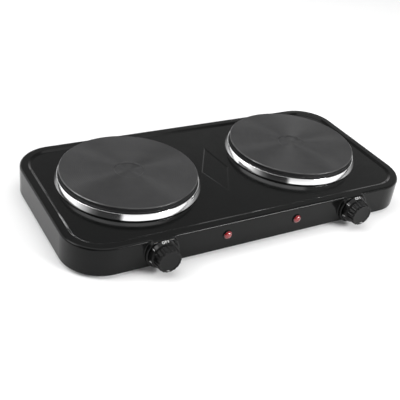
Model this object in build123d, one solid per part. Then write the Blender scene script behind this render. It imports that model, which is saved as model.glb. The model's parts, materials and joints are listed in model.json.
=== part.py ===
from build123d import *
import math
import os

# Double electric hot plate, millimetres. +X runs along the length to the right, the front with
# its two knobs faces -Y, +Z is up. The origin is on the table, under the middle of the whole.

# Pressed-steel housing
BODY_LENGTH = 492.0
BODY_WIDTH = 239.0
CORNER_RADIUS = 49.5
SHEET = 0.8
WALL_BOTTOM = 5.0
WALL_HEIGHT = 37.0
RIM_ROUND = 3.0
RIM_WIDTH = 10.5
STEP_WIDTH = 3.6
TRAY_DEPTH = 2.2
STEP_ROUND = 1.2
STEP_FOOT_ROUND = 2.5
FLANGE_INSET = 12.0
FLANGE_SCREW_INSET = 6.5
FLANGE_Z = 6.3
EMBOSS_DEPTH = 0.7
EMBOSS_SLOPE = 1.4

# Cast-iron plates and their trim rings
PLATE_X = 126.0
PLATE_SHIFT_Y = 10.0
PLATE_RADIUS = 88.0
PLATE_RISE = 13.7
CASTING_THICKNESS = 6.0
CASTING_WALL_INNER = 80.0
EDGE_BEVEL = 0.9
CASTING_LOW_RADIUS = 84.0
CASTING_DEPTH = 19.7
RECESS_RADIUS = 19.0
RECESS_DEPTH = 0.9
HUB_RADIUS = 14.0
RING_RADIUS = 93.0
RING_HEIGHT = 8.5
RING_SLOPE = 3.1
RING_SHEET = 0.8
RING_CURL = 1.3
TRAY_HOLE_RADIUS = 86.0
COIL_INNER_RADIUS = 28.0
COIL_PITCH = 11.0
COIL_HALF_TURNS = 8
COIL_RADIUS = 2.2
TAIL_RADIUS = 1.0
STUD_RADIUS = 3.0

# Controls on the front wall
CONTROL_X = 141.0
CONTROL_RISE = 19.5
BOSS_RADIUS = 21.5
BOSS_PROUD = 5.0
BOSS_ROUND = 1.5
KNOB_PROUD = 23.0
KNOB_BASE_RADIUS = 18.8
KNOB_SKIRT_RADIUS = 17.6
KNOB_SKIRT_DEPTH = 5.5
KNOB_GRIP_RADIUS = 16.2
KNOB_FACE_RADIUS = 14.8
KNOB_FLUTES = 18
FLUTE_RADIUS = 1.4
KNOB_WALL = 2.2
KNOB_HUB_RADIUS = 6.4
SPINDLE_RADIUS = 3.0
SPINDLE_FLAT = 2.3
PIN_RADIUS = 1.5
LAMP_X = 51.5
LAMP_RISE = 20.0
LAMP_HOLE_RADIUS = 4.6
BEZEL_RADIUS = 6.5
BEZEL_PROUD = 1.0
LENS_RADIUS = 5.6
LENS_RISE = 3.2
LENS_SPIGOT_RADIUS = 3.4

# Underside, inlet and wiring
FOOT_X = 200.0
FOOT_Y = 78.0
SCREW_RADIUS = 1.9
INLET_PROUD = 11.0
INLET_RISE = 11.0
CORD_BORE_RADIUS = 3.8
WIRE_RADIUS = 1.1
FIT = 0.05
GAP = 0.1

# Places worked out from the driving dimensions
SIGNS = (-1, 1)
BODY_Y = (KNOB_PROUD - INLET_PROUD) / 2
FRONT_Y = BODY_Y - BODY_WIDTH / 2
BACK_Y = BODY_Y + BODY_WIDTH / 2
RIM_TOP = WALL_BOTTOM + WALL_HEIGHT
TRAY_TOP = RIM_TOP - TRAY_DEPTH
PLATE_Y = BODY_Y + PLATE_SHIFT_Y
PLATE_TOP = RIM_TOP + PLATE_RISE
CASTING_BOTTOM = PLATE_TOP - CASTING_DEPTH
CAVITY_TOP = PLATE_TOP - CASTING_THICKNESS
BRIDGE_TOP = CASTING_BOTTOM - 4.5
BRIDGE_SHEET = 2.5
COIL_Z = CAVITY_TOP - 3.4
PLATE_COVER_Z = CAVITY_TOP - 8.2
TAIL_BOTTOM = PLATE_COVER_Z - 7.5
HUB_BOTTOM = BRIDGE_TOP + GAP
CONTROL_Z = WALL_BOTTOM + CONTROL_RISE
BOSS_FACE_Y = FRONT_Y - BOSS_PROUD
KNOB_BACK_Y = BOSS_FACE_Y - 1.0
KNOB_FACE_Y = FRONT_Y - KNOB_PROUD
FRAME_Y = BOSS_FACE_Y + SHEET + GAP
FRAME_SHEET = 1.2
FRAME_BACK_Y = FRAME_Y + FRAME_SHEET
SPINDLE_END_Y = FRAME_BACK_Y + 9.0
STACK_SHIFT_X = 13.0
STACK_SHIFT_Z = -9.5
LEAF_SHEET = 0.5
MOVING_LEAF_Y = FRAME_BACK_Y + 15.2
FIXED_LEAF_Y = MOVING_LEAF_Y + 4.0
BIMETAL_Y = FIXED_LEAF_Y + 4.0
LAMP_Z = WALL_BOTTOM + LAMP_RISE
LAMP_BACK_Y = FRONT_Y + 24.0
LEAD_SHIFT = 1.6
INLET_Z = WALL_BOTTOM + INLET_RISE
COVER_Z = WALL_BOTTOM + 0.2
COVER_TOP = COVER_Z + SHEET
CLAMP_Y = BACK_Y - 18
CLAMP_SCREWS = [(-9.5, CLAMP_Y), (9.5, CLAMP_Y)]
BLOCK_Y = BACK_Y - 44
BLOCK_EAR_X = 22.5
BLOCK_SCREWS = [(-BLOCK_EAR_X, BLOCK_Y), (BLOCK_EAR_X, BLOCK_Y)]
POLES = (-13.0, 0.0, 13.0)
POLE_Z = COVER_TOP + 7.0
POLE_FRONT_Y = BLOCK_Y - 4
EARTH_PLACE = (36.0, BLOCK_Y + 12)
LOW_LANE_Z = 9.5
LOAD_LANE_Z = 14.5
WIRE_BEND = 4.0
SIDES = (("left", -1), ("right", 1))
LONG_SCREW_Y = BODY_WIDTH / 2 - FLANGE_SCREW_INSET
END_SCREW_X = BODY_LENGTH / 2 - FLANGE_SCREW_INSET
SCREW_PLACES = [(sx * 90, sy * LONG_SCREW_Y) for sx in SIGNS for sy in SIGNS]
SCREW_PLACES += [(sx * END_SCREW_X, sy * 45) for sx in SIGNS for sy in SIGNS]
FOOT_PLACES = [(sx * FOOT_X, sy * FOOT_Y) for sx in SIGNS for sy in SIGNS]


def save(node, shape):
    """Write one named sub-part."""
    export_step(shape, f"parts/{node}.step")


def group(shapes):
    """Separate solids that share one node."""
    return Compound(children=[Solid(shape.solids()[0].wrapped) for shape in shapes])


def footprint(inset):
    """The housing's rounded outline, moved inward by inset."""
    radius = CORNER_RADIUS - inset
    return RectangleRounded(BODY_LENGTH - 2 * inset, BODY_WIDTH - 2 * inset, radius)


def block(inset, low, high):
    """An upright block with the housing's outline."""
    return Pos(0, BODY_Y, low) * extrude(footprint(inset), high - low)


def sloped_block(inset_low, inset_high, low, high):
    """A block whose outline widens from the low to the high level."""
    floor = Pos(0, BODY_Y, low) * footprint(inset_low)
    roof = Pos(0, BODY_Y, high) * footprint(inset_high)
    return loft([floor, roof])


def post(x, y, radius, low, high):
    """An upright cylinder between two levels."""
    return Pos(x, y, (low + high) / 2) * Cylinder(radius, high - low)


def rod(x, z, radius, front, back):
    """A cylinder along Y between two depths."""
    return Pos(x, (front + back) / 2, z) * Rot(90, 0, 0) * Cylinder(radius, back - front)


def turned(points, x, y):
    """A solid of revolution about an upright axis, from radius and height pairs."""
    outline = make_face(Polyline(*[(r, 0, z) for r, z in points], close=True))
    return Pos(x, y, 0) * revolve(outline, Axis.Z)


def turned_along_y(points, x, z):
    """A solid of revolution about an axis along Y, from radius and depth pairs."""
    outline = make_face(Polyline(*[(r, y, 0) for r, y in points], close=True))
    return Pos(x, 0, z) * revolve(outline, Axis.Y)


def wire_run(points, bend):
    """An insulated wire along a rounded polyline."""
    path = FilletPolyline(*points, radius=bend)
    return sweep((path ^ 0) * Circle(WIRE_RADIUS), path=path)


def boss_outline(radius, front, back, top):
    """The round pad behind a knob, cut off at the wall's lower edge and the rim."""
    pads = []
    for sign in SIGNS:
        pad = rod(sign * CONTROL_X, CONTROL_Z, radius, front, back)
        height = top - WALL_BOTTOM
        limit = Pos(sign * CONTROL_X, front, WALL_BOTTOM + height / 2) * Box(60, 40, height)
        pads.append(pad & limit)
    return pads


def emboss(top):
    """The slanted diamond pressed into the tray between the plates, as a sloped block."""
    corners = [(10, 51.5), (-23, -1.5), (-12, -50.5), (15, -0.5)]
    floor = make_face(Polyline(*corners, close=True))
    mouth = offset(floor, EMBOSS_SLOPE, kind=Kind.INTERSECTION)
    low = top - EMBOSS_DEPTH
    return loft([Pos(0, BODY_Y, low) * floor, Pos(0, BODY_Y, top) * mouth])


def soft_front(shell):
    """Rounds the edges where each boss meets the wall, the rim and its own face."""
    joint = [e for e in shell.edges() if abs(e.center().Y - FRONT_Y) < 0.01]
    joint = [e for e in joint if e.geom_type == GeomType.CIRCLE]
    shell = fillet(joint, BOSS_ROUND)
    shell = fillet(shell.edges().group_by(Axis.Z)[-1], RIM_ROUND)
    face = [e for e in shell.edges() if abs(e.center().Y - BOSS_FACE_Y) < 0.01]
    return fillet([e for e in face if e.geom_type == GeomType.CIRCLE], BOSS_ROUND)


def soft_step(shell):
    """Rounds the step between the rim and the tray at its foot and at its top."""
    foot = [e for e in shell.edges() if abs(e.center().Z - TRAY_TOP) < 0.01]
    shell = fillet(foot, STEP_FOOT_ROUND)
    half_length = BODY_LENGTH / 2 - RIM_WIDTH + 0.1
    half_width = BODY_WIDTH / 2 - RIM_WIDTH + 0.1
    top = [e for e in shell.edges() if abs(e.center().Z - RIM_TOP) < 0.01]
    top = [e for e in top if abs(e.center().X) < half_length]
    return fillet([e for e in top if abs(e.center().Y - BODY_Y) < half_width], STEP_ROUND)


def housing():
    """One-piece shell: walls, rolled rim, sunken tray, bosses and bottom flange."""
    shell = block(0, WALL_BOTTOM, RIM_TOP)
    for pad in boss_outline(BOSS_RADIUS, BOSS_FACE_Y, FRONT_Y + 6, RIM_TOP):
        shell += pad
    shell = soft_front(shell)
    hollow = block(SHEET, WALL_BOTTOM - 1, RIM_TOP - SHEET)
    hollow = fillet(hollow.edges().group_by(Axis.Z)[-1], RIM_ROUND - SHEET)
    for pad in boss_outline(BOSS_RADIUS - SHEET, BOSS_FACE_Y + SHEET, FRONT_Y + 6, RIM_TOP - SHEET):
        hollow += pad
    step_foot = RIM_WIDTH + STEP_WIDTH
    hollow -= sloped_block(step_foot - SHEET, RIM_WIDTH - SHEET, TRAY_TOP - SHEET, RIM_TOP - SHEET)
    hollow -= emboss(TRAY_TOP - SHEET)
    shell -= hollow
    shell -= sloped_block(step_foot, RIM_WIDTH, TRAY_TOP, RIM_TOP)
    shell = soft_step(shell)
    shell -= emboss(TRAY_TOP)
    flange = block(SHEET / 2, FLANGE_Z, FLANGE_Z + SHEET) - block(FLANGE_INSET, 0, RIM_TOP)
    shell += flange
    for sign in SIGNS:
        shell -= post(sign * PLATE_X, PLATE_Y, TRAY_HOLE_RADIUS, TRAY_TOP - 5, RIM_TOP)
        shell -= rod(sign * CONTROL_X, CONTROL_Z, SPINDLE_RADIUS + 1, BOSS_FACE_Y - 1, FRONT_Y)
        shell -= rod(sign * LAMP_X, LAMP_Z, LAMP_HOLE_RADIUS, FRONT_Y - 1, FRONT_Y + 3)
        for x in (sign * CONTROL_X - 11, sign * CONTROL_X + 11):
            shell -= rod(x, CONTROL_Z, SCREW_RADIUS + GAP, BOSS_FACE_Y - 1, FRONT_Y)
    shell -= rod(0, INLET_Z, 7.1, BACK_Y - 3, BACK_Y + 1)
    for x, y in SCREW_PLACES:
        shell -= post(x, BODY_Y + y, SCREW_RADIUS + FIT, FLANGE_Z - 1, FLANGE_Z + 2)
    return shell


def bottom_cover():
    """Flat sheet closing the underside, with vent slots and screw holes."""
    cover = block(SHEET + 0.4, COVER_Z, COVER_TOP)
    slot = extrude(SlotOverall(46, 4), SHEET * 3)
    for sign in SIGNS:
        for row in range(5):
            for column in (-1, 1):
                x = sign * PLATE_X + column * 34
                y = PLATE_Y + (row - 2) * 16
                cover -= Pos(x, y, COVER_Z - SHEET) * slot
    for x, y in SCREW_PLACES:
        cover -= post(x, BODY_Y + y, SCREW_RADIUS + 0.2, COVER_Z - 1, COVER_TOP + 1)
    for x, y in FOOT_PLACES:
        cover -= post(x, BODY_Y + y, 2.15, COVER_Z - 1, COVER_TOP + 1)
    for x, y in CLAMP_SCREWS + BLOCK_SCREWS + [EARTH_PLACE]:
        cover -= post(x, y, SCREW_RADIUS + FIT, COVER_Z - 1, COVER_TOP + 1)
    return cover


def pan_screw(x, y, head_low, tip):
    """Upward pan-head screw with a cross recess."""
    head = post(x, y, 3.6, head_low, head_low + 1.4)
    head = fillet(head.edges().group_by(Axis.Z)[0], 0.8)
    screw = head + post(x, y, SCREW_RADIUS, head_low + 1, tip)
    for size in ((3.6, 0.8), (0.8, 3.6)):
        screw -= Pos(x, y, head_low + 0.3) * Box(size[0], size[1], 0.9)
    return screw


def bottom_screws():
    return group([pan_screw(x, BODY_Y + y, COVER_Z - 1.45, 12) for x, y in SCREW_PLACES])


def foot(x, y):
    """Rubber foot with a counterbored hole for its screw."""
    y += BODY_Y
    height = COVER_Z - GAP
    pad = Pos(x, y, height / 2) * Cone(9.5, 11.5, height)
    pad -= post(x, y, 5.0, -1, 2.5)
    pad -= post(x, y, 2.1, 0, height + 1)
    return pad


def foot_screws():
    screws = []
    for x, y in FOOT_PLACES:
        y += BODY_Y
        screw = post(x, y, 4.2, 0.9, 2.45) + post(x, y, 2.0, 2, 10.5)
        screws.append(screw - Pos(x, y, 1.1) * Box(5, 0.9, 1.2))
    return group(screws)


def hex_nut(x, y, width, hole, low, high):
    """Upright hexagon nut, width across flats."""
    body = extrude(RegularPolygon(width / math.sqrt(3), 6), high - low)
    return Pos(x, y, low) * body - post(x, y, hole, low - 1, high + 1)


def foot_nuts():
    low = COVER_TOP + GAP
    return group([hex_nut(x, BODY_Y + y, 7, 2.05, low, low + 2.6) for x, y in FOOT_PLACES])


def plate_casting(x):
    """Cast-iron cooking plate: flat top with a shallow centre dish, hollow below."""
    seat = PLATE_RADIUS - 0.6
    shoulder = TRAY_TOP + RING_HEIGHT + 0.3
    outline = [
        (0, PLATE_TOP - RECESS_DEPTH), (RECESS_RADIUS - 1.2, PLATE_TOP - RECESS_DEPTH),
        (RECESS_RADIUS, PLATE_TOP), (PLATE_RADIUS - EDGE_BEVEL, PLATE_TOP),
        (PLATE_RADIUS, PLATE_TOP - EDGE_BEVEL), (PLATE_RADIUS, shoulder), (seat, shoulder),
        (seat, TRAY_TOP + 4.5), (CASTING_LOW_RADIUS, TRAY_TOP + 2),
        (CASTING_LOW_RADIUS, CASTING_BOTTOM), (CASTING_WALL_INNER, CASTING_BOTTOM),
        (CASTING_WALL_INNER, CAVITY_TOP), (HUB_RADIUS, CAVITY_TOP),
        (HUB_RADIUS, HUB_BOTTOM), (STUD_RADIUS + FIT, HUB_BOTTOM),
        (STUD_RADIUS + FIT, HUB_BOTTOM + 12), (0, HUB_BOTTOM + 12),
    ]
    return turned(outline, x, PLATE_Y)


def trim_ring(x):
    """Stainless spill ring: a flared skirt curled in at its foot, a lip gripping the casting."""
    low = TRAY_TOP + FIT
    top = TRAY_TOP + RING_HEIGHT
    lip = PLATE_RADIUS - 0.6 + FIT
    shoulder = RING_RADIUS - RING_SLOPE
    inside = RING_RADIUS - RING_SHEET
    outline = [
        (RING_RADIUS - RING_CURL, low), (RING_RADIUS, low + RING_CURL),
        (shoulder, top - 0.6), (shoulder - 0.6, top), (lip, top),
        (lip, top - RING_SHEET), (shoulder - 1.0, top - RING_SHEET),
        (shoulder - 0.8, top - 1.2), (inside, low + RING_CURL),
        (inside - RING_CURL, low + RING_SHEET / 3), (inside - RING_CURL, low),
    ]
    return turned(outline, x, PLATE_Y)


def spiral(tube_radius):
    """A tube along a spiral of half circles, lying flat around the origin."""
    arcs = []
    for half_turn in range(COIL_HALF_TURNS):
        radius = COIL_INNER_RADIUS + half_turn * COIL_PITCH / 2
        odd = half_turn % 2
        arcs.append(CenterArc((odd * COIL_PITCH / 2, 0), radius, odd * 180, 180))
    start = Pos(COIL_INNER_RADIUS, 0, 0) * Rot(90, 0, 0) * Circle(tube_radius)
    tube = sweep(start, path=Wire([arc.edges()[0] for arc in arcs]))
    return Rot(0, 0, -90) * tube


def tail_places():
    """Depths of the coil's inner and outer tail, in front of the plate's middle."""
    outer = COIL_INNER_RADIUS + COIL_HALF_TURNS * COIL_PITCH / 2
    return (PLATE_Y - COIL_INNER_RADIUS, PLATE_Y - outer)


def heating_coil(x):
    """Wound resistance wire as the round envelope of its winding, with two tails down."""
    coil = Pos(x, PLATE_Y, COIL_Z) * spiral(COIL_RADIUS)
    for y in tail_places():
        coil += post(x, y, TAIL_RADIUS, TAIL_BOTTOM, COIL_Z)
    return coil


def coil_filler(x):
    """Pressed magnesia that fills the casting around the coil."""
    outer = CASTING_WALL_INNER - GAP
    filler = post(x, PLATE_Y, outer, PLATE_COVER_Z + 0.9, CAVITY_TOP - GAP)
    filler -= post(x, PLATE_Y, HUB_RADIUS + GAP, 0, PLATE_TOP)
    filler -= Pos(x, PLATE_Y, COIL_Z) * spiral(COIL_RADIUS + GAP)
    for y in tail_places():
        filler -= post(x, y, TAIL_RADIUS + GAP, 0, COIL_Z)
    return filler


def plate_cover(x):
    """Thin sheet closing the casting from below."""
    disc = post(x, PLATE_Y, CASTING_WALL_INNER - 0.2, PLATE_COVER_Z, PLATE_COVER_Z + 0.8)
    disc -= post(x, PLATE_Y, HUB_RADIUS + 0.2, 0, PLATE_TOP)
    for y in tail_places():
        disc -= post(x, y, 3.2, 0, PLATE_TOP)
    return disc


def tail_beads():
    """Ceramic beads that carry the coils' tails through the covers."""
    beads = []
    for sign in SIGNS:
        x = sign * PLATE_X
        for y in tail_places():
            bead = post(x, y, 3.0, PLATE_COVER_Z - 1.6, PLATE_COVER_Z + 0.8)
            bead += post(x, y, 4.4, PLATE_COVER_Z - 1.6, PLATE_COVER_Z - GAP)
            beads.append(bead - post(x, y, TAIL_RADIUS + FIT, 0, PLATE_TOP))
    return group(beads)


def crimp_sleeves():
    """Brass sleeves joining each tail to its lead from below."""
    sleeves = []
    for sign in SIGNS:
        for y in tail_places():
            sleeve = post(sign * PLATE_X, y, 2.0, TAIL_BOTTOM - 5, TAIL_BOTTOM + 4)
            bore = post(sign * PLATE_X, y, WIRE_RADIUS + FIT, 0, PLATE_TOP)
            sleeves.append(sleeve - bore)
    return group(sleeves)


def clamp_bridge(x):
    """Pressed bar under the tray that pulls the plate down."""
    seat = TRAY_TOP - SHEET - GAP
    upper = [(98, seat), (87, seat), (80, BRIDGE_TOP), (-80, BRIDGE_TOP), (-87, seat), (-98, seat)]
    lower = [(px, pz - BRIDGE_SHEET) for px, pz in reversed(upper)]
    profile = make_face(Polyline(*[(px, 0, pz) for px, pz in upper + lower], close=True))
    bar = Pos(x, PLATE_Y, 0) * extrude(profile, 9, both=True)
    return bar - post(x, PLATE_Y, STUD_RADIUS + 0.2, 0, PLATE_TOP)


def plate_studs():
    """Studs from each casting's hub down through its bridge."""
    high = HUB_BOTTOM + 11.5
    return group([post(sign * PLATE_X, PLATE_Y, STUD_RADIUS, 18, high) for sign in SIGNS])


def plate_nuts():
    top = BRIDGE_TOP - BRIDGE_SHEET - GAP
    nuts = []
    for sign in SIGNS:
        x = sign * PLATE_X
        washer = post(x, PLATE_Y, 7, top - 1.2, top) - post(x, PLATE_Y, STUD_RADIUS + 0.2, 0, 50)
        nuts.append(washer)
        nuts.append(hex_nut(x, PLATE_Y, 10, STUD_RADIUS + FIT, top - 6.4, top - 1.3))
    return group(nuts)


def knob(x):
    """Round knob: a smooth skirt that carries the marks, a fluted grip, and a hub."""
    skirt_y = KNOB_BACK_Y - KNOB_SKIRT_DEPTH
    crown_y = KNOB_FACE_Y + 0.6
    outline = [
        (0, crown_y), (KNOB_FACE_RADIUS - 2.4, crown_y), (KNOB_FACE_RADIUS - 1.4, KNOB_FACE_Y),
        (KNOB_FACE_RADIUS - 0.6, KNOB_FACE_Y + 0.2), (KNOB_FACE_RADIUS, KNOB_FACE_Y + 1.0),
        (KNOB_GRIP_RADIUS, skirt_y), (KNOB_SKIRT_RADIUS, skirt_y + 0.5),
        (KNOB_BASE_RADIUS, KNOB_BACK_Y - 0.5), (KNOB_BASE_RADIUS - 0.4, KNOB_BACK_Y),
        (KNOB_BASE_RADIUS - KNOB_WALL, KNOB_BACK_Y),
        (KNOB_FACE_RADIUS - KNOB_WALL - 0.6, KNOB_FACE_Y + KNOB_WALL + 2),
        (KNOB_HUB_RADIUS, KNOB_FACE_Y + KNOB_WALL + 1), (KNOB_HUB_RADIUS, KNOB_BACK_Y - 1),
        (0, KNOB_BACK_Y - 1),
    ]
    body = turned_along_y(outline, x, CONTROL_Z)
    cutter = flute_cutter(skirt_y)
    for flute in range(KNOB_FLUTES):
        body -= Pos(x, 0, CONTROL_Z) * Rot(0, 360 * (flute + 0.5) / KNOB_FLUTES, 0) * cutter
    bore = rod(x, CONTROL_Z, SPINDLE_RADIUS + FIT, KNOB_FACE_Y + 4, KNOB_BACK_Y + 1)
    flat = Pos(x, KNOB_BACK_Y, CONTROL_Z + SPINDLE_FLAT + FIT + 5) * Box(20, 60, 10)
    return body - (bore - flat)


def flute_cutter(skirt_y):
    """A rod that lies along the grip's taper, from before the face to the skirt."""
    length = skirt_y - KNOB_FACE_Y
    taper = math.degrees(math.atan2(KNOB_GRIP_RADIUS - KNOB_FACE_RADIUS, length))
    reach = (KNOB_GRIP_RADIUS + KNOB_FACE_RADIUS) / 2 + FLUTE_RADIUS * 0.55
    middle = Pos(reach, (skirt_y + KNOB_FACE_Y) / 2, 0) * Rot(0, 0, -taper)
    return middle * Rot(90, 0, 0) * Cylinder(FLUTE_RADIUS, length)


def spindle(x):
    """Steel control spindle with a flat at the knob's end."""
    front = KNOB_FACE_Y + 4.4
    shaft = rod(x, CONTROL_Z, SPINDLE_RADIUS, front, SPINDLE_END_Y)
    flat_length = KNOB_BACK_Y - 1 - front
    cut = Pos(x, front + flat_length / 2, CONTROL_Z + SPINDLE_FLAT + 5)
    flat = cut * Box(20, flat_length, 10)
    return shaft - flat


def push_pin(x):
    """Ceramic pin between the spindle's end and the moving contact spring."""
    return rod(x, CONTROL_Z, PIN_RADIUS, SPINDLE_END_Y + 0.1, MOVING_LEAF_Y - 1.2)


def thermostat_frame(x):
    """Mounting plate with a stepped bush that holds the spindle and guides the pin."""
    plate = Pos(x, FRAME_Y + FRAME_SHEET / 2, CONTROL_Z) * Box(32, FRAME_SHEET, 16)
    frame = plate + rod(x, CONTROL_Z, 5, FRAME_Y, FRAME_BACK_Y + 12)
    frame += Pos(x + 13.5, FRAME_BACK_Y, CONTROL_Z - 6) * Box(5, 2 * FRAME_SHEET, 4)
    frame -= rod(x, CONTROL_Z, SPINDLE_RADIUS + FIT, FRAME_Y - 1, SPINDLE_END_Y + 0.2)
    frame -= rod(x, CONTROL_Z, PIN_RADIUS + FIT, FRAME_BACK_Y, FRAME_BACK_Y + 13)
    for hole_x in (x - 11, x + 11):
        frame -= rod(hole_x, CONTROL_Z, SCREW_RADIUS + FIT, FRAME_Y - 1, FRAME_BACK_Y + 3)
    return frame


def leaf(x, y, sheet, reach, tab):
    """A flat spring from the contact end, past the rivet, to its terminal tab."""
    middle = x + (tab - reach) / 2
    strip = Pos(middle, y + sheet / 2, CONTROL_Z) * Box(tab + reach, sheet, 6.3)
    drop = Pos(x + STACK_SHIFT_X, y + sheet / 2, CONTROL_Z + STACK_SHIFT_Z / 2)
    strip += drop * Box(9, sheet, 9 - STACK_SHIFT_Z)
    return strip - rod(x + STACK_SHIFT_X, CONTROL_Z + STACK_SHIFT_Z, 1.7, y - 1, y + 2)


def contact_springs():
    """Moving and fixed contact leaves of both thermostats, each with its silver contact."""
    springs = []
    for sign in SIGNS:
        x = sign * CONTROL_X
        moving = leaf(x, MOVING_LEAF_Y, LEAF_SHEET, 13, 27)
        moving += rod(x - 10, CONTROL_Z, 2, MOVING_LEAF_Y, MOVING_LEAF_Y + 1.6)
        fixed = leaf(x, FIXED_LEAF_Y, LEAF_SHEET, 13, 32)
        fixed += rod(x - 10, CONTROL_Z, 2, FIXED_LEAF_Y - 1.6, FIXED_LEAF_Y)
        springs += [moving, fixed]
    return group(springs)


def bimetal_strips():
    return group([leaf(sign * CONTROL_X, BIMETAL_Y, 0.8, 14, 15) for sign in SIGNS])


def ceramic_spacers():
    """Washers that part the leaves along the rivets."""
    stops = [
        (FRAME_BACK_Y + FRAME_SHEET + GAP, MOVING_LEAF_Y - GAP),
        (MOVING_LEAF_Y + LEAF_SHEET + GAP, FIXED_LEAF_Y - GAP),
        (FIXED_LEAF_Y + LEAF_SHEET + GAP, BIMETAL_Y - GAP),
    ]
    spacers = []
    z = CONTROL_Z + STACK_SHIFT_Z
    for sign in SIGNS:
        x = sign * CONTROL_X + STACK_SHIFT_X
        for front, back in stops:
            spacers.append(rod(x, z, 4, front, back) - rod(x, z, 1.7, front - 1, back + 1))
    return group(spacers)


def stack_rivets():
    """Rivets through the spacers and leaves."""
    rivets = []
    for sign in SIGNS:
        x = sign * CONTROL_X + STACK_SHIFT_X
        z = CONTROL_Z + STACK_SHIFT_Z
        rivet = rod(x, z, 1.6, FRAME_BACK_Y + FRAME_SHEET + GAP, BIMETAL_Y + 2)
        rivets.append(rivet + rod(x, z, 3, BIMETAL_Y + 0.9, BIMETAL_Y + 2))
    return group(rivets)


def thermostat_screws():
    """Screws behind the knobs that hold each thermostat to its boss."""
    screws = []
    for sign in SIGNS:
        for x in (sign * CONTROL_X - 11, sign * CONTROL_X + 11):
            head = rod(x, CONTROL_Z, 3.4, BOSS_FACE_Y - 0.9, BOSS_FACE_Y - FIT)
            screws.append(head + rod(x, CONTROL_Z, SCREW_RADIUS, BOSS_FACE_Y - 0.5, FRAME_Y + 6))
    return group(screws)


def lamp_body(x):
    """Black bezel and tube of a panel lamp, open to the front."""
    body = rod(x, LAMP_Z, BEZEL_RADIUS, FRONT_Y - BEZEL_PROUD, FRONT_Y - GAP)
    body += rod(x, LAMP_Z, LAMP_HOLE_RADIUS - GAP, FRONT_Y - BEZEL_PROUD / 2, LAMP_BACK_Y)
    body -= rod(x, LAMP_Z, LENS_SPIGOT_RADIUS + GAP, FRONT_Y - 2, LAMP_BACK_Y - 1.5)
    for shift in (-LEAD_SHIFT, LEAD_SHIFT):
        body -= rod(x + shift, LAMP_Z, WIRE_RADIUS + FIT, FRONT_Y, LAMP_BACK_Y + 1)
    return body


def lamp_lens(x):
    """Red domed lens with a hollow spigot into the bezel."""
    seat = FRONT_Y - BEZEL_PROUD - GAP
    ball = (LENS_RADIUS ** 2 + LENS_RISE ** 2) / (2 * LENS_RISE)
    dome = Pos(x, seat - LENS_RISE + ball, LAMP_Z) * Sphere(ball)
    dome &= rod(x, LAMP_Z, LENS_RADIUS, seat - LENS_RISE - 1, seat)
    lens = dome + rod(x, LAMP_Z, LENS_SPIGOT_RADIUS, seat - 0.1, FRONT_Y + 2.5)
    return lens - rod(x, LAMP_Z, LENS_SPIGOT_RADIUS - 0.8, FRONT_Y - 0.5, FRONT_Y + 3)


def neon_bulbs():
    """Small glow lamps inside the tubes."""
    bulb = [rod(sign * LAMP_X, LAMP_Z, 2.5, FRONT_Y + 4, FRONT_Y + 16) for sign in SIGNS]
    return group([fillet(part.edges().filter_by(GeomType.CIRCLE), 1.2) for part in bulb])


def lamp_retainers():
    """Spring washers that hold the lamps from behind the wall."""
    rings = []
    for sign in SIGNS:
        x = sign * LAMP_X
        ring = rod(x, LAMP_Z, 7.5, FRONT_Y + SHEET + GAP, FRONT_Y + SHEET + 0.8)
        rings.append(ring - rod(x, LAMP_Z, LAMP_HOLE_RADIUS - FIT, FRONT_Y, FRONT_Y + 5))
    return group(rings)


def cord_gland():
    """Rubber bushing in the back wall, tapering outward."""
    outline = [
        (CORD_BORE_RADIUS, BACK_Y - 5), (8.6, BACK_Y - 4), (8.6, BACK_Y - SHEET - GAP),
        (7.0, BACK_Y - SHEET - GAP), (7.0, BACK_Y + GAP), (10.0, BACK_Y + GAP),
        (10.0, BACK_Y + 2.2), (7.6, BACK_Y + 2.8), (5.8, BACK_Y + INLET_PROUD),
        (CORD_BORE_RADIUS, BACK_Y + INLET_PROUD),
    ]
    return turned_along_y(outline, 0, INLET_Z)


def cord_clamp_base():
    """Saddle on the cover under the cord's path."""
    low = COVER_TOP + GAP
    top = INLET_Z + 2
    base = Pos(0, CLAMP_Y, (low + top) / 2) * Box(28, 9, top - low)
    base -= Pos(0, CLAMP_Y, INLET_Z + 5) * Box(2 * CORD_BORE_RADIUS + 1, 12, 10)
    base -= rod(0, INLET_Z, CORD_BORE_RADIUS + 0.5, CLAMP_Y - 6, CLAMP_Y + 6)
    for x, y in CLAMP_SCREWS:
        base -= post(x, y, SCREW_RADIUS + FIT, 0, 40)
    return base


def cord_clamp_bar():
    low = INLET_Z + 2 + GAP
    bar = Pos(0, CLAMP_Y, low + 1.75) * Box(28, 9, 3.5)
    for x, y in CLAMP_SCREWS:
        bar -= post(x, y, SCREW_RADIUS + FIT, 0, 40)
    return bar


def terminal_block():
    """Three-pole ceramic block with a through hole and a screw hole per pole."""
    low = COVER_TOP + GAP
    body = Pos(0, BLOCK_Y, low + 6.5) * Box(40, 16, 13)
    for x, y in BLOCK_SCREWS:
        body += Pos(x, y, low + 2) * Box(9, 10, 4)
        body -= post(x, y, SCREW_RADIUS + FIT, 0, 40)
    for x in POLES:
        body -= rod(x, POLE_Z, 3.6, BLOCK_Y - 9, BLOCK_Y + 9)
        body -= post(x, BLOCK_Y, 2.2, POLE_Z, 40)
    return body


def terminal_inserts():
    """Brass tubes that take the wire ends."""
    inserts = []
    for x in POLES:
        tube = rod(x, POLE_Z, 3.5, BLOCK_Y - 7.5, BLOCK_Y + 7.5)
        tube -= rod(x, POLE_Z, 2.5, BLOCK_Y - 9, BLOCK_Y + 9)
        inserts.append(tube - post(x, BLOCK_Y, 1.5 + FIT, POLE_Z, 40))
    return group(inserts)


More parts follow.
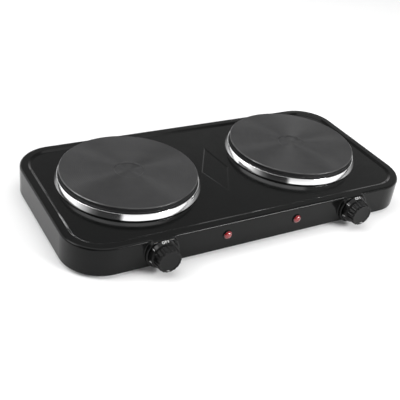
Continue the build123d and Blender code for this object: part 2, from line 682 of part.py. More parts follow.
def terminal_screws():
    screws = []
    for x in POLES:
        screw = post(x, BLOCK_Y, 1.5, POLE_Z + 1.3, POLE_Z + 7)
        screws.append(screw - Pos(x, BLOCK_Y, POLE_Z + 6.8) * Box(4, 0.6, 1))
    return group(screws)


def fixing_screws():
    """Screws up through the cover into the cord clamp and the terminal block."""
    screws = [pan_screw(x, y, COVER_Z - 1.45, INLET_Z + 7.5) for x, y in CLAMP_SCREWS]
    screws += [pan_screw(x, y, COVER_Z - 1.45, COVER_TOP + 6.5) for x, y in BLOCK_SCREWS]
    return group(screws)


def earth_screw():
    return pan_screw(EARTH_PLACE[0], EARTH_PLACE[1], COVER_Z - 1.45, COVER_TOP + 8)


def earth_lug():
    """Ring lug, with a barrel for the wire, under the earth nut."""
    x, y = EARTH_PLACE
    low = COVER_TOP + GAP
    lug = post(x, y, 4.5, low, low + 0.8) + Pos(x, y - 7, low + 0.4) * Box(4, 8, 0.8)
    barrel = rod(x, low + 2, 2, y - 14, y - 8) - rod(x, low + 2, WIRE_RADIUS + FIT, y - 15, y - 7)
    barrel -= Pos(x, y - 11, low - 5) * Box(8, 8, 10)
    lug += barrel
    return lug - post(x, y, SCREW_RADIUS + GAP, 0, 40)


def earth_nut():
    low = COVER_TOP + 1.0
    return hex_nut(EARTH_PLACE[0], EARTH_PLACE[1], 7, SCREW_RADIUS + FIT, low, low + 3)


def rating_label():
    """Blank rating label on the underside."""
    return Pos(0, BODY_Y - 20, COVER_Z - 0.12) * Box(64, 42, 0.2)


def spade(x, y, z):
    """Push-on connector whose slot takes a tab from its left, with a wire socket behind."""
    body = Pos(x + 4.4, y, z) * Box(8.8, 3.2, 7.4)
    body -= Pos(x + 1.9, y, z) * Box(4.2, 0.7, 6.6)
    return body - Pos(x + 7, y, z) * Rot(0, 90, 0) * Cylinder(WIRE_RADIUS + FIT, 6)


def tab_places(x):
    """Connector places on the moving and the fixed leaf of one thermostat."""
    moving = (x + 23.4, MOVING_LEAF_Y + LEAF_SHEET / 2, CONTROL_Z)
    fixed = (x + 28.4, FIXED_LEAF_Y + LEAF_SHEET / 2, CONTROL_Z)
    return moving, fixed


def spade_connectors():
    places = [place for sign in SIGNS for place in tab_places(sign * CONTROL_X)]
    return group([spade(*place) for place in places])


def live_wires():
    """From the block's live pole to the fixed leaf of each thermostat."""
    wires = []
    for sign, corner in zip(SIGNS, ((-30, 20), (60, -50))):
        x, y, z = tab_places(sign * CONTROL_X)[1]
        pole_x = POLES[0] + sign * (WIRE_RADIUS + FIT)
        route = [
            (x + 5.2, y, z), (x + 22, y, z), (x + 22, y + 8, LOW_LANE_Z),
            (corner[0], corner[1], LOW_LANE_Z), (pole_x, 44, LOW_LANE_Z),
            (pole_x, 62, POLE_Z), (pole_x, POLE_FRONT_Y, POLE_Z),
        ]
        wires.append(wire_run(route, WIRE_BEND))
    return group(wires)


def load_wires():
    """From each moving leaf to the outer coil tail, and from there to the lamp."""
    wires = []
    tail_y = tail_places()[1]
    for sign in SIGNS:
        x, y, z = tab_places(sign * CONTROL_X)[0]
        plate_x = sign * PLATE_X
        route = [
            (x + 5.2, y, z), (x + 20.6, y, z), (x + 20.6, y, LOAD_LANE_Z),
            (x + 20.6, -72, LOAD_LANE_Z), (plate_x, tail_y, LOAD_LANE_Z),
            (plate_x, tail_y, TAIL_BOTTOM - 1),
        ]
        wires.append(wire_run(route, WIRE_BEND))
        lamp_x = sign * (LAMP_X + LEAD_SHIFT)
        lead = [(lamp_x, LAMP_BACK_Y - 1.2, LAMP_Z), (lamp_x, -66, LAMP_Z)]
        lead += lead_end(sign, tail_y)
        wires.append(wire_run(lead, WIRE_BEND))
    return group(wires)


def lead_end(sign, tail_y):
    """The last stretch of a lamp lead, up to the side of a crimp sleeve."""
    height = TAIL_BOTTOM - 3
    return [(sign * 108, tail_y, height), (sign * (PLATE_X - 2.15), tail_y, height)]


def neutral_wires():
    """From the block's neutral pole to the inner coil tail, and from there to the lamp."""
    wires = []
    tail_y = tail_places()[0]
    for sign in SIGNS:
        pole_x = POLES[1] + sign * (WIRE_RADIUS + FIT)
        plate_x = sign * PLATE_X
        route = [
            (pole_x, POLE_FRONT_Y, POLE_Z), (pole_x, 48, POLE_Z),
            (plate_x, tail_y, POLE_Z), (plate_x, tail_y, TAIL_BOTTOM - 1),
        ]
        wires.append(wire_run(route, WIRE_BEND))
        lamp_x = sign * (LAMP_X - LEAD_SHIFT)
        lead = [(lamp_x, LAMP_BACK_Y - 1.2, LAMP_Z), (lamp_x, -50, LAMP_Z)]
        lead += lead_end(sign, tail_y)
        wires.append(wire_run(lead, WIRE_BEND))
    return group(wires)


def earth_wire():
    """From the block's earth pole to the lug."""
    x, y = EARTH_PLACE
    low = COVER_TOP + GAP + 2
    route = [
        (POLES[2], POLE_FRONT_Y, POLE_Z), (POLES[2], 62, POLE_Z),
        (x, 62, low), (x, y - 9, low),
    ]
    return wire_run(route, WIRE_BEND)


def main():
    os.makedirs("parts", exist_ok=True)
    save("housing", housing())
    save("bottom_cover", bottom_cover())
    save("bottom_screws", bottom_screws())
    foot_names = ("foot_front_left", "foot_rear_left", "foot_front_right", "foot_rear_right")
    for name, place in zip(foot_names, FOOT_PLACES):
        save(name, foot(*place))
    save("foot_screws", foot_screws())
    save("foot_nuts", foot_nuts())
    save("rating_label", rating_label())
    for side, sign in SIDES:
        x = sign * PLATE_X
        save(f"{side}_plate_casting", plate_casting(x))
        save(f"{side}_trim_ring", trim_ring(x))
        save(f"{side}_heating_coil", heating_coil(x))
        save(f"{side}_coil_filler", coil_filler(x))
        save(f"{side}_plate_cover", plate_cover(x))
        save(f"{side}_clamp_bridge", clamp_bridge(x))
    save("plate_studs", plate_studs())
    save("plate_nuts", plate_nuts())
    save("tail_beads", tail_beads())
    save("crimp_sleeves", crimp_sleeves())
    for side, sign in SIDES:
        x = sign * CONTROL_X
        save(f"{side}_knob", knob(x))
        save(f"{side}_spindle", spindle(x))
        save(f"{side}_push_pin", push_pin(x))
        save(f"{side}_thermostat_frame", thermostat_frame(x))
    save("contact_springs", contact_springs())
    save("bimetal_strips", bimetal_strips())
    save("ceramic_spacers", ceramic_spacers())
    save("stack_rivets", stack_rivets())
    save("thermostat_screws", thermostat_screws())
    for side, sign in SIDES:
        x = sign * LAMP_X
        save(f"{side}_lamp_body", lamp_body(x))
        save(f"{side}_lamp_lens", lamp_lens(x))
    save("neon_bulbs", neon_bulbs())
    save("lamp_retainers", lamp_retainers())
    save("cord_gland", cord_gland())
    save("cord_clamp_base", cord_clamp_base())
    save("cord_clamp_bar", cord_clamp_bar())
    save("terminal_block", terminal_block())
    save("terminal_inserts", terminal_inserts())
    save("terminal_screws", terminal_screws())
    save("fixing_screws", fixing_screws())
    save("earth_screw", earth_screw())
    save("earth_lug", earth_lug())
    save("earth_nut", earth_nut())
    save("spade_connectors", spade_connectors())
    save("live_wires", live_wires())
    save("load_wires", load_wires())
    save("neutral_wires", neutral_wires())
    save("earth_wire", earth_wire())


main()
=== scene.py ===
import json
import math

import bmesh
import bpy
from mathutils import Matrix, Vector


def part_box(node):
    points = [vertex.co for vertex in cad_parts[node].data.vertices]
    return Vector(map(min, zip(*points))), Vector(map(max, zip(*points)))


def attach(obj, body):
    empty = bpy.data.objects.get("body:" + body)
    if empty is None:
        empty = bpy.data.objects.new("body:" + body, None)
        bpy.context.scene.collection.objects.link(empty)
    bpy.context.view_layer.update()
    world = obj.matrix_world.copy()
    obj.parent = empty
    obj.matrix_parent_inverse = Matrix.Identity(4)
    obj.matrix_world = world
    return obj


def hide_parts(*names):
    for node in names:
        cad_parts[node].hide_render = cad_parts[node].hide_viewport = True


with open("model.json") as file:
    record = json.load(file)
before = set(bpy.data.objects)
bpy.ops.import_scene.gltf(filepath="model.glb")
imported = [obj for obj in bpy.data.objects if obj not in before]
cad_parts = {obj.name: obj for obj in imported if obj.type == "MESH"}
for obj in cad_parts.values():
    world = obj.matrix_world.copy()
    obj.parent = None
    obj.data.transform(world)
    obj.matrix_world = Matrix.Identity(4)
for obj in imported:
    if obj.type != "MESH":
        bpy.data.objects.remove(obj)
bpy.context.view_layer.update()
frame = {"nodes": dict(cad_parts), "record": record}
nodes = frame["nodes"]
MM = 0.001
SIDES = ("left", "right")
TURNED_MAP = "turned"
ON_AXIS = 1e-7


# ---- places read from the frame ----

def middle(node):
    """The middle of a CAD node's box."""
    low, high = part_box(node)
    return (low + high) / 2


def across(node):
    """The lengths of a CAD node's box."""
    low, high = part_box(node)
    return high - low


# ---- material kit ----

def new_material(name):
    """An empty node material and its shader."""
    material = bpy.data.materials.new(name)
    material.use_nodes = True
    return material, material.node_tree.nodes["Principled BSDF"]


def add_node(material, kind, **settings):
    node = material.node_tree.nodes.new(kind)
    for key, value in settings.items():
        if key in node.inputs:
            node.inputs[key].default_value = value
        else:
            setattr(node, key, value)
    return node


def link(material, source, target):
    material.node_tree.links.new(source, target)


def set_shader(shader, **values):
    """Sets shader sockets; an underscore stands for a space."""
    for key, value in values.items():
        socket = shader.inputs[key.replace("_", " ")]
        socket.default_value = (*value, 1) if isinstance(value, tuple) else value


def object_space(material, scale=(1, 1, 1)):
    """Object coordinates, stretched by a scale."""
    place = add_node(material, "ShaderNodeTexCoord").outputs["Object"]
    mapping = add_node(material, "ShaderNodeMapping", Scale=scale)
    link(material, place, mapping.inputs["Vector"])
    return mapping.outputs["Vector"]


def turned_space(material, scale):
    """Round-the-axis coordinates of a lathed piece: turn, then length along its profile."""
    place = add_node(material, "ShaderNodeUVMap", uv_map=TURNED_MAP).outputs["UV"]
    mapping = add_node(material, "ShaderNodeMapping", Scale=scale)
    link(material, place, mapping.inputs["Vector"])
    return mapping.outputs["Vector"]


def noise(material, scale, detail=2.0, roughness=0.5, vector=None):
    texture = add_node(material, "ShaderNodeTexNoise", Scale=scale, Detail=detail, Roughness=roughness)
    link(material, vector or object_space(material), texture.inputs["Vector"])
    return texture.outputs["Fac"]


def ramp(material, value, stops):
    """A colour ramp through (place, grey or rgb) stops."""
    node = add_node(material, "ShaderNodeValToRGB")
    elements = node.color_ramp.elements
    while len(elements) < len(stops):
        elements.new(0.5)
    for element, (place, colour) in zip(elements, stops):
        element.position = place
        rgb = colour if isinstance(colour, tuple) else (colour, colour, colour)
        element.color = (*rgb, 1)
    link(material, value, node.inputs["Fac"])
    return node.outputs["Color"]


def bump(material, shader, height, strength, distance):
    node = add_node(material, "ShaderNodeBump", Strength=strength, Distance=distance)
    link(material, height, node.inputs["Height"])
    link(material, node.outputs["Normal"], shader.inputs["Normal"])


def turned_tangent(material, shader):
    """Lays the stretched highlights of fine turning marks round the axis."""
    tangent = add_node(material, "ShaderNodeTangent", direction_type="UV_MAP", uv_map=TURNED_MAP)
    link(material, tangent.outputs["Tangent"], shader.inputs["Tangent"])


# ---- materials ----

def black_enamel():
    """Glossy baked enamel over pressed steel: deep black, faint orange peel."""
    material, shader = new_material("black_enamel")
    deep = [(0.3, (0.0032, 0.0034, 0.0034)), (0.7, (0.0043, 0.0045, 0.0043))]
    link(material, ramp(material, noise(material, 12, 3), deep), shader.inputs["Base Color"])
    link(material, ramp(material, noise(material, 55, 4), [(0.35, 0.13), (0.75, 0.18)]),
         shader.inputs["Roughness"])
    set_shader(shader, Specular_IOR_Level=0.16)
    bump(material, shader, noise(material, 330, 2), 0.05, 0.0003)
    return material


def machined_iron():
    """Turned cast iron, black-treated: blotches, fine turning marks and stretched highlights."""
    material, shader = new_material("machined_iron")
    blotch = noise(material, 26, 5, 0.6)
    iron = [(0.3, (0.026, 0.026, 0.027)), (0.72, (0.037, 0.037, 0.0375))]
    link(material, ramp(material, blotch, iron), shader.inputs["Base Color"])
    marks = noise(material, 1, 3, 0.6, turned_space(material, (6, 5200, 1)))
    link(material, ramp(material, marks, [(0.3, 0.36), (0.7, 0.50)]), shader.inputs["Roughness"])
    set_shader(shader, Metallic=0.45, Specular_IOR_Level=0.5, Anisotropic=0.92)
    turned_tangent(material, shader)
    bump(material, shader, marks, 0.25, 0.00006)
    return material


def worn_iron():
    """The plate's bevelled edge, rubbed brighter by pans."""
    material, shader = new_material("worn_iron")
    wear = noise(material, 60, 4, 0.6)
    link(material, ramp(material, wear, [(0.35, (0.05, 0.05, 0.05)), (0.7, (0.12, 0.12, 0.12))]),
         shader.inputs["Base Color"])
    link(material, ramp(material, wear, [(0.3, 0.40), (0.7, 0.28)]), shader.inputs["Roughness"])
    set_shader(shader, Metallic=0.8)
    bump(material, shader, noise(material, 900, 3), 0.15, 0.0001)
    return material


def polished_steel():
    """Bright stainless sheet, polished round the ring."""
    material, shader = new_material("polished_steel")
    sheen = [(0.3, (0.80, 0.80, 0.81)), (0.7, (0.88, 0.88, 0.88))]
    link(material, ramp(material, noise(material, 40, 3), sheen), shader.inputs["Base Color"])
    streaks = noise(material, 1, 3, 0.6, turned_space(material, (10, 9000, 1)))
    link(material, ramp(material, streaks, [(0.3, 0.07), (0.7, 0.15)]), shader.inputs["Roughness"])
    set_shader(shader, Metallic=1.0)
    bump(material, shader, streaks, 0.05, 0.00003)
    return material


def satin_plastic():
    """Moulded glossy black plastic with a fine grain."""
    material, shader = new_material("satin_plastic")
    black = [(0.3, (0.0038, 0.0038, 0.0040)), (0.7, (0.0058, 0.0058, 0.0058))]
    link(material, ramp(material, noise(material, 90, 3), black), shader.inputs["Base Color"])
    link(material, ramp(material, noise(material, 700, 3), [(0.3, 0.10), (0.7, 0.16)]),
         shader.inputs["Roughness"])
    set_shader(shader, Specular_IOR_Level=0.16)
    bump(material, shader, noise(material, 3200, 2), 0.10, 0.00008)
    return material


def red_lens():
    """Red moulding under a clear coat, with painted shade darkening it towards its rim where it turns
    away from the camera.
    """
    material, shader = new_material("red_lens")
    # painted shade: the facing value darkens the red where the dome turns away from the camera
    depth = add_node(material, "ShaderNodeLayerWeight", Blend=0.35).outputs["Facing"]
    red = [(0.0, (0.24, 0.004, 0.008)), (0.8, (0.06, 0.001, 0.002))]
    link(material, ramp(material, depth, red), shader.inputs["Base Color"])
    set_shader(shader, Coat_Weight=0.8, Coat_Roughness=0.03)
    link(material, ramp(material, noise(material, 500, 2), [(0.3, 0.08), (0.7, 0.14)]),
         shader.inputs["Roughness"])
    bump(material, shader, noise(material, 900, 2), 0.03, 0.0001)
    return material


def plain(name, colour, roughness, metallic=0.0, grain=200, depth=0.1):
    """A finish with fine grain in its colour, roughness and relief."""
    material, shader = new_material(name)
    darker = tuple(c * 0.85 for c in colour)
    lighter = tuple(min(1, c * 1.12) for c in colour)
    link(material, ramp(material, noise(material, grain / 4, 3), [(0.3, darker), (0.7, lighter)]),
         shader.inputs["Base Color"])
    rough = [(0.3, max(0.02, roughness - 0.05)), (0.7, min(1.0, roughness + 0.06))]
    link(material, ramp(material, noise(material, grain, 3), rough), shader.inputs["Roughness"])
    set_shader(shader, Metallic=metallic)
    bump(material, shader, noise(material, grain * 4, 2), depth, 0.0003)
    return material


finish = {
    "black_enamel": black_enamel(),
    "cast_iron": machined_iron(),
    "stainless": polished_steel(),
    "zinc_steel": plain("zinc_steel", (0.6, 0.6, 0.58), 0.35, 1.0),
    "spring_steel": plain("spring_steel", (0.45, 0.42, 0.38), 0.3, 1.0),
    "black_plastic": satin_plastic(),
    "red_lens": red_lens(),
    "neon_glass": plain("neon_glass", (0.8, 0.5, 0.4), 0.1),
    "black_rubber": plain("black_rubber", (0.02, 0.02, 0.02), 0.8, grain=500, depth=0.3),
    "steatite": plain("steatite", (0.8, 0.77, 0.7), 0.6),
    "magnesia": plain("magnesia", (0.6, 0.56, 0.5), 0.9),
    "brass": plain("brass", (0.75, 0.55, 0.25), 0.3, 1.0),
    "galvanised": plain("galvanised", (0.5, 0.51, 0.52), 0.4, 1.0, grain=40),
    "coil_alloy": plain("coil_alloy", (0.3, 0.28, 0.26), 0.5, 1.0),
    "label_foil": plain("label_foil", (0.7, 0.7, 0.7), 0.4, 0.8),
    "brown_sleeve": plain("brown_sleeve", (0.12, 0.045, 0.02), 0.5),
    "black_sleeve": plain("black_sleeve", (0.02, 0.02, 0.02), 0.5),
    "blue_sleeve": plain("blue_sleeve", (0.02, 0.09, 0.4), 0.5),
    "green_yellow_sleeve": plain("green_yellow_sleeve", (0.25, 0.4, 0.03), 0.5),
    "clamp_nylon": plain("clamp_nylon", (0.75, 0.73, 0.66), 0.5),
}
white_print = plain("white_print", (0.8, 0.8, 0.8), 0.5)
edge_wear = worn_iron()
slots = {part["node"]: part["material_slot"] for part in frame["record"]["subparts"]}
for name, node in nodes.items():
    node.data.materials.clear()
    node.data.materials.append(finish[slots[name]])


# ---- mesh kit ----

def rounded(corners, steps=5):
    """A profile whose corners, as (radius, height, rounding), are turned into short arcs."""
    points = []
    for index, (x, y, rounding) in enumerate(corners):
        here = Vector((x, y))
        if rounding == 0:
            points.append(here)
            continue
        before = Vector(corners[index - 1][:2]) - here
        after = Vector(corners[(index + 1) % len(corners)][:2]) - here
        half = before.angle(after) / 2
        reach = min(rounding / math.tan(half), before.length * 0.48, after.length * 0.48)
        start = here + before.normalized() * reach
        end = here + after.normalized() * reach
        for step in range(steps + 1):
            t = step / steps
            points.append(start * (1 - t) ** 2 + here * 2 * t * (1 - t) + end * t ** 2)
    return [(point.x, point.y) for point in points]


def lathe(name, profile, steps, frame_matrix, wave=None, closed=True):
    """A turned mesh about the local Z axis. wave(turn, index) shrinks the radius of a profile point."""
    mesh = bpy.data.meshes.new(name)
    work = bmesh.new()
    turned = work.loops.layers.uv.new(TURNED_MAP)
    rings = []
    for index, (radius, height) in enumerate(profile):
        if radius < ON_AXIS:
            rings.append([work.verts.new(frame_matrix @ Vector((0, 0, height)))])
            continue
        ring = []
        for step in range(steps):
            turn = step / steps
            r = radius - (wave(turn, index) if wave else 0)
            angle = 2 * math.pi * turn
            place = Vector((r * math.cos(angle), r * math.sin(angle), height))
            ring.append(work.verts.new(frame_matrix @ place))
        rings.append(ring)
    lengths = [0.0]
    for here, there in zip(profile, profile[1:] + profile[:1]):
        lengths.append(lengths[-1] + math.dist(here, there))
    spans = len(profile) if closed else len(profile) - 1
    for index in range(spans):
        low, high = rings[index], rings[(index + 1) % len(rings)]
        if len(low) == 1 and len(high) == 1:
            continue
        for step in range(steps):
            after = (step + 1) % steps
            corners = [(low[step % len(low)], step, 0), (low[after % len(low)], step + 1, 0),
                       (high[after % len(high)], step + 1, 1), (high[step % len(high)], step, 1)]
            if len(low) == 1:
                corners.pop(1)
            if len(high) == 1:
                corners.pop(2)
            face = work.faces.new([corner[0] for corner in corners])
            face.smooth = True
            for loop, corner in zip(face.loops, corners):
                loop[turned].uv = (corner[1] / steps, lengths[index + corner[2]])
    bmesh.ops.recalc_face_normals(work, faces=work.faces)
    work.to_mesh(mesh)
    work.free()
    piece = bpy.data.objects.new(name, mesh)
    bpy.context.scene.collection.objects.link(piece)
    return piece


def stand_in(piece, node, body, material=None):
    """Lets a piece stand for a CAD node, with that node's finish."""
    piece.data.materials.append(material or finish[slots[node]])
    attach(piece, body)
    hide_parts(node)


# ---- plates and rings ----

RECESS_RADIUS = 19 * MM
RECESS_DEPTH = 0.9 * MM
GROOVE_PITCH = 2.4 * MM
GROOVE_DEPTH = 0.08 * MM
EDGE_BEVEL = 0.9 * MM
RING_SLOPE = 3.1 * MM
RING_SHEET = 0.8 * MM
RING_CURL = 1.3 * MM
CURL_RETURN = 0.8 * MM
LIP_OVERLAP = 0.55 * MM
SKIRT_INSET = 4 * MM
CASTING_WALL_INSET = 8 * MM
CASTING_THICKNESS = 6 * MM
SEAT_INSET = 0.6 * MM
SEAT_GAP = 0.3 * MM
TURN_STEPS = 160


def grooves(start, end, height):
    """Turned marks between two radii, as a fine cosine wave below a level."""
    points = []
    count = round(abs(end - start) / GROOVE_PITCH * 4)
    for index in range(count + 1):
        dip = GROOVE_DEPTH * (1 - math.cos(index * math.pi / 2)) / 2
        points.append((start + (end - start) * index / count, height - dip))
    return points


def cooking_plate(side):
    node = f"{side}_plate_casting"
    low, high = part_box(node)
    centre = middle(node)
    radius = across(node).x / 2
    ring_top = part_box(f"{side}_trim_ring")[1].z
    dish = high.z - RECESS_DEPTH
    shoulder = ring_top + SEAT_GAP
    seat = radius - SEAT_INSET
    skirt = radius - SKIRT_INSET
    wall = radius - CASTING_WALL_INSET
    cavity = high.z - CASTING_THICKNESS
    top = [(0, dish)] + grooves(1 * MM, RECESS_RADIUS - 1.6 * MM, dish)
    top += rounded([(RECESS_RADIUS - 1.2 * MM, dish, 0), (RECESS_RADIUS - 0.6 * MM, dish + 0.1 * MM, 0),
                    (RECESS_RADIUS, high.z, 0)])
    top += grooves(RECESS_RADIUS + 0.3 * MM, radius - EDGE_BEVEL - 0.2 * MM, high.z)
    side_wall = rounded([
        (radius - EDGE_BEVEL, high.z, 0.3 * MM), (radius, high.z - EDGE_BEVEL, 0.4 * MM),
        (radius, shoulder, 0.3 * MM), (seat, shoulder, 0),
        (seat, ring_top - 4 * MM, 0.5 * MM), (skirt, ring_top - 6.5 * MM, 1 * MM),
        (skirt, low.z, 0.5 * MM), (wall, low.z, 0.5 * MM), (wall, cavity, 2 * MM),
        (0, cavity, 0),
    ])
    place = Matrix.Translation((centre.x, centre.y, 0))
    piece = lathe(f"{side}_cooking_plate", top + side_wall, TURN_STEPS, place, closed=False)
    stand_in(piece, node, "base")
    piece.data.materials.append(edge_wear)
    for face in piece.data.polygons:
        reach = math.hypot(face.center.x - centre.x, face.center.y - centre.y)
        if reach > radius - EDGE_BEVEL and face.center.z > high.z - EDGE_BEVEL:
            face.material_index = 1


def spill_ring(side):
    node = f"{side}_trim_ring"
    low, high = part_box(node)
    centre = middle(node)
    radius = across(node).x / 2
    lip = across(f"{side}_plate_casting").x / 2 - LIP_OVERLAP
    curl = radius - RING_CURL - CURL_RETURN
    shoulder = radius - RING_SLOPE
    profile = rounded([
        (radius - RING_CURL, low.z, 0.3 * MM), (radius, low.z + RING_CURL, 0.7 * MM),
        (shoulder, high.z, 0.4 * MM), (lip, high.z, 0), (lip, high.z - RING_SHEET, 0),
        (shoulder - 0.9 * MM, high.z - RING_SHEET, 0.4 * MM),
        (radius - RING_SHEET, low.z + RING_CURL, 0.4 * MM), (curl, low.z + 0.3 * MM, 0),
        (curl, low.z, 0),
    ], steps=6)
    place = Matrix.Translation((centre.x, centre.y, 0))
    piece = lathe(f"{side}_spill_ring", profile, TURN_STEPS, place)
    stand_in(piece, node, "base")


# ---- knobs ----

FLUTES = 18
FLUTE_DEPTH = 1.0 * MM
FLUTE_STEPS = 12
GRIP_STEPS = 10
# how many points of the front the flutes run on into: its first, and most of its rounded edge
FLUTED_FRONT_POINTS = 6
SKIRT_DEPTH = 5.5 * MM
SKIRT_RADIUS = 17.6 * MM
GRIP_RADIUS = 16.2 * MM
FACE_RADIUS = 14.8 * MM
LEVELS = 5
LEVEL_TURN = math.radians(54)
LETTER_HEIGHT = 3.9 * MM
LETTER_PITCH = 3.3 * MM
LETTER_SQUEEZE = 0.8
FONT_SCALE = 1.35
LAST_F_PITCH = 0.92
PRINT_THICKNESS = 0.06 * MM
KNOB_WALL = 2.2 * MM
HOLLOW_DEPTH = 6 * MM
FACE_SINK = 0.6 * MM


def front_place(node):
    """Local frame at the back of a part on the front wall: Z comes out forward, Y points up."""
    centre = middle(node)
    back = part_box(node)[1].y
    return Matrix.Translation((centre.x, back, centre.z)) @ Matrix.Rotation(math.pi / 2, 4, "X")


def knob(side):
    node = f"{side}_knob"
    length = across(node).y
    base = across(node).x / 2
    back = rounded([
        (0, HOLLOW_DEPTH, 0), (base - KNOB_WALL, HOLLOW_DEPTH, 0), (base - KNOB_WALL, 0, 0.3 * MM),
        (base, 0, 0.4 * MM),
        (SKIRT_RADIUS, SKIRT_DEPTH, 0.6 * MM), (GRIP_RADIUS - 0.4 * MM, SKIRT_DEPTH, 0),
    ])
    rise = length - SKIRT_DEPTH
    grip = []
    for step in range(1, GRIP_STEPS):
        t = step / GRIP_STEPS
        radius = GRIP_RADIUS + (FACE_RADIUS - GRIP_RADIUS) * t
        grip.append((radius, SKIRT_DEPTH + rise * t - FACE_SINK * (1 - t)))
    face = length - FACE_SINK
    front = rounded([
        (FACE_RADIUS + 0.15 * MM, length - 1.4 * MM, 0), (FACE_RADIUS, length, 1.1 * MM),
        (FACE_RADIUS - 1.9 * MM, length, 0.5 * MM), (FACE_RADIUS - 2.6 * MM, face, 0.3 * MM),
        (0, face, 0),
    ])
    profile = back + grip + front
    edges = len(back), len(back) + len(grip) + FLUTED_FRONT_POINTS

    def flute(turn, index):
        if not edges[0] <= index < edges[1]:
            return 0
        return FLUTE_DEPTH * (0.5 - 0.5 * math.cos(2 * math.pi * FLUTES * turn)) ** 2

    steps = FLUTES * FLUTE_STEPS
    piece = lathe(f"{side}_fluted_knob", profile, steps, front_place(node), flute, closed=False)
    stand_in(piece, node, f"{side}_control")


def character(letter):
    """One flat character as a mesh object about its own middle."""
    curve = bpy.data.curves.new("character", "FONT")
    curve.body = letter
    curve.align_x = "CENTER"
    curve.align_y = "CENTER"
    curve.size = LETTER_HEIGHT * FONT_SCALE
    curve.extrude = PRINT_THICKNESS
    text = bpy.data.objects.new("character", curve)
    bpy.context.scene.collection.objects.link(text)
    bpy.context.view_layer.update()
    mesh = bpy.data.meshes.new_from_object(text)
    bpy.data.objects.remove(text)
    return mesh


def dial_marks(side):
    """OFF and the level numbers, printed round the skirt so that a clockwise turn brings 1 up first."""
    base = across(f"{side}_knob").x / 2
    lean = math.atan2(base - SKIRT_RADIUS, SKIRT_DEPTH)
    radius = (base + SKIRT_RADIUS) / 2 + PRINT_THICKNESS
    place = front_place(f"{side}_knob")
    spacing = LETTER_PITCH / radius
    marks = [("O", spacing), ("F", 0.0), ("F", -spacing * LAST_F_PITCH)]
    marks += [(str(level), level * LEVEL_TURN) for level in range(1, LEVELS + 1)]
    joined = bmesh.new()
    for letter, turn in marks:
        mesh = character(letter)
        tip = Matrix.Rotation(turn, 4, "Z") @ Matrix.Translation((0, radius, SKIRT_DEPTH / 2))
        stand = Matrix.Rotation(lean - math.pi / 2, 4, "X")
        mesh.transform(place @ tip @ stand @ Matrix.Diagonal((LETTER_SQUEEZE, 1, 1, 1)))
        joined.from_mesh(mesh)
        bpy.data.meshes.remove(mesh)
    mesh = bpy.data.meshes.new(f"{side}_dial_marks")
    joined.to_mesh(mesh)
    joined.free()
    mesh.materials.append(white_print)
    piece = bpy.data.objects.new(f"{side}_dial_marks", mesh)
    bpy.context.scene.collection.objects.link(piece)
    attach(piece, f"{side}_control")


# ---- lamps ----

LENS_RISE = 3.2 * MM
SPIGOT_RADIUS = 3.4 * MM
SPIGOT_WALL = 0.8 * MM
SPIGOT_FLOOR = 1 * MM
DOME_STEPS = 15
LENS_STEPS = 48


def lens(side):
    """A domed lens with a spigot."""
    node = f"{side}_lamp_lens"
    radius = across(node).x / 2
    length = across(node).y
    seat = length - LENS_RISE
    ball = (radius ** 2 + LENS_RISE ** 2) / (2 * LENS_RISE)
    reach = math.asin(radius / ball)
    bore = SPIGOT_RADIUS - SPIGOT_WALL
    profile = [(0, SPIGOT_FLOOR), (bore, SPIGOT_FLOOR), (bore, 0), (SPIGOT_RADIUS, 0)]
    profile += [(SPIGOT_RADIUS, seat), (radius - 0.2 * MM, seat), (radius, seat + 0.1 * MM)]
    for step in range(1, DOME_STEPS + 1):
        angle = reach * (1 - step / DOME_STEPS)
        profile.append((ball * math.sin(angle), length - ball + ball * math.cos(angle)))
    piece = lathe(f"{side}_lens_dome", profile, LENS_STEPS, front_place(node), closed=False)
    stand_in(piece, node, "base")


for side in SIDES:
    cooking_plate(side)
    spill_ring(side)
    knob(side)
    dial_marks(side)
    lens(side)


# ---- stage, light and camera ----

FLOOR_DROP = 0.1 * MM
FLOOR_HALF = 4.0
WORLD_STRENGTH = 1.35
DOORWAY = 0.03
CEILING = 0.30


def stage_floor():
    mesh = bpy.data.meshes.new("floor")
    work = bmesh.new()
    bmesh.ops.create_grid(work, x_segments=8, y_segments=8, size=FLOOR_HALF)
    work.to_mesh(mesh)
    work.free()
    floor = bpy.data.objects.new("floor", mesh)
    bpy.context.scene.collection.objects.link(floor)
    material, shader = new_material("floor")
    set_shader(shader, Base_Color=(0.9, 0.9, 0.9), Roughness=0.7, Specular_IOR_Level=0.2)
    mesh.materials.append(material)
    floor.location.z = -FLOOR_DROP


def softbox(name, place, aim, width, height, power):
    light = bpy.data.lights.new(name, "AREA")
    light.shape = "RECTANGLE"
    light.size = width
    light.size_y = height
    light.energy = power
    lamp = bpy.data.objects.new(name, light)
    bpy.context.scene.collection.objects.link(lamp)
    lamp.location = place
    lamp.rotation_euler = (Vector(aim) - Vector(place)).to_track_quat("-Z", "Y").to_euler()


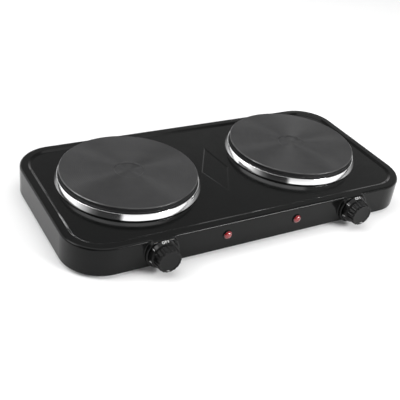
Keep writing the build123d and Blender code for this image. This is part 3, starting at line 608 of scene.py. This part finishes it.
def studio_walls():
    """A white horizon all round, with a dark doorway at the front left, under a dim ceiling."""
    world = bpy.data.worlds.new("studio")
    bpy.context.scene.world = world
    world.use_nodes = True
    way = add_node(world, "ShaderNodeTexCoord").outputs["Generated"]
    parts = add_node(world, "ShaderNodeSeparateXYZ")
    link(world, way, parts.inputs["Vector"])
    bearing = add_node(world, "ShaderNodeMath", operation="ARCTAN2")
    link(world, parts.outputs["Y"], bearing.inputs[0])
    link(world, parts.outputs["X"], bearing.inputs[1])
    turn = add_node(world, "ShaderNodeMapRange")
    turn.inputs["From Min"].default_value = -math.pi
    turn.inputs["From Max"].default_value = math.pi
    link(world, bearing.outputs[0], turn.inputs["Value"])
    doorway = ramp(world, turn.outputs[0], [
        (0.0, 0.42), (0.04, 0.10), (0.07, DOORWAY), (0.158, DOORWAY), (0.172, 1.0), (0.955, 1.0),
        (1.0, 0.42),
    ])
    height = add_node(world, "ShaderNodeMapRange")
    height.inputs["From Min"].default_value = -1
    link(world, parts.outputs["Z"], height.inputs["Value"])
    wall = ramp(world, height.outputs[0], [(0.60, 1.0), (0.72, CEILING), (1.0, CEILING)])
    mix = add_node(world, "ShaderNodeMix", data_type="RGBA", blend_type="MULTIPLY")
    mix.inputs["Factor"].default_value = 1
    link(world, doorway, mix.inputs[6])
    link(world, wall, mix.inputs[7])
    back = world.node_tree.nodes["Background"]
    back.inputs["Strength"].default_value = WORLD_STRENGTH
    link(world, mix.outputs[2], back.inputs["Color"])


def studio():
    studio_walls()
    softbox("left", (-1.46, 0.37, 1.31), (0, 0, 0), 0.8, 0.8, 14)
    softbox("left_rear", (-1.5, 1.5, 0.85), (0, 0, 0), 2.2, 1.1, 7)
    softbox("front", (0.92, -1.49, 0.95), (0, 0, 0), 0.8, 0.25, 30)
    softbox("top", (-0.2, 0.1, 2.2), (0, 0, 0), 2.4, 2.4, 31)
    bpy.context.scene.view_settings.view_transform = "Standard"


CAMERA_PLACE = Vector((-0.4742, -0.6880, 0.5292))
CAMERA_AIM = Vector((-0.0513, -0.0420, 0.030))
CAMERA_ROLL = math.radians(8.08)
CAMERA_LENS = 64.97
SENSOR_WIDTH = 36


def camera():
    data = bpy.data.cameras.new("camera")
    data.lens = CAMERA_LENS
    data.sensor_width = SENSOR_WIDTH
    eye = bpy.data.objects.new("camera", data)
    bpy.context.scene.collection.objects.link(eye)
    turn = (CAMERA_AIM - CAMERA_PLACE).to_track_quat("-Z", "Y").to_matrix().to_4x4()
    eye.matrix_world = Matrix.Translation(CAMERA_PLACE) @ turn @ Matrix.Rotation(CAMERA_ROLL, 4, "Z")
    bpy.context.scene.camera = eye


stage_floor()
studio()
camera()
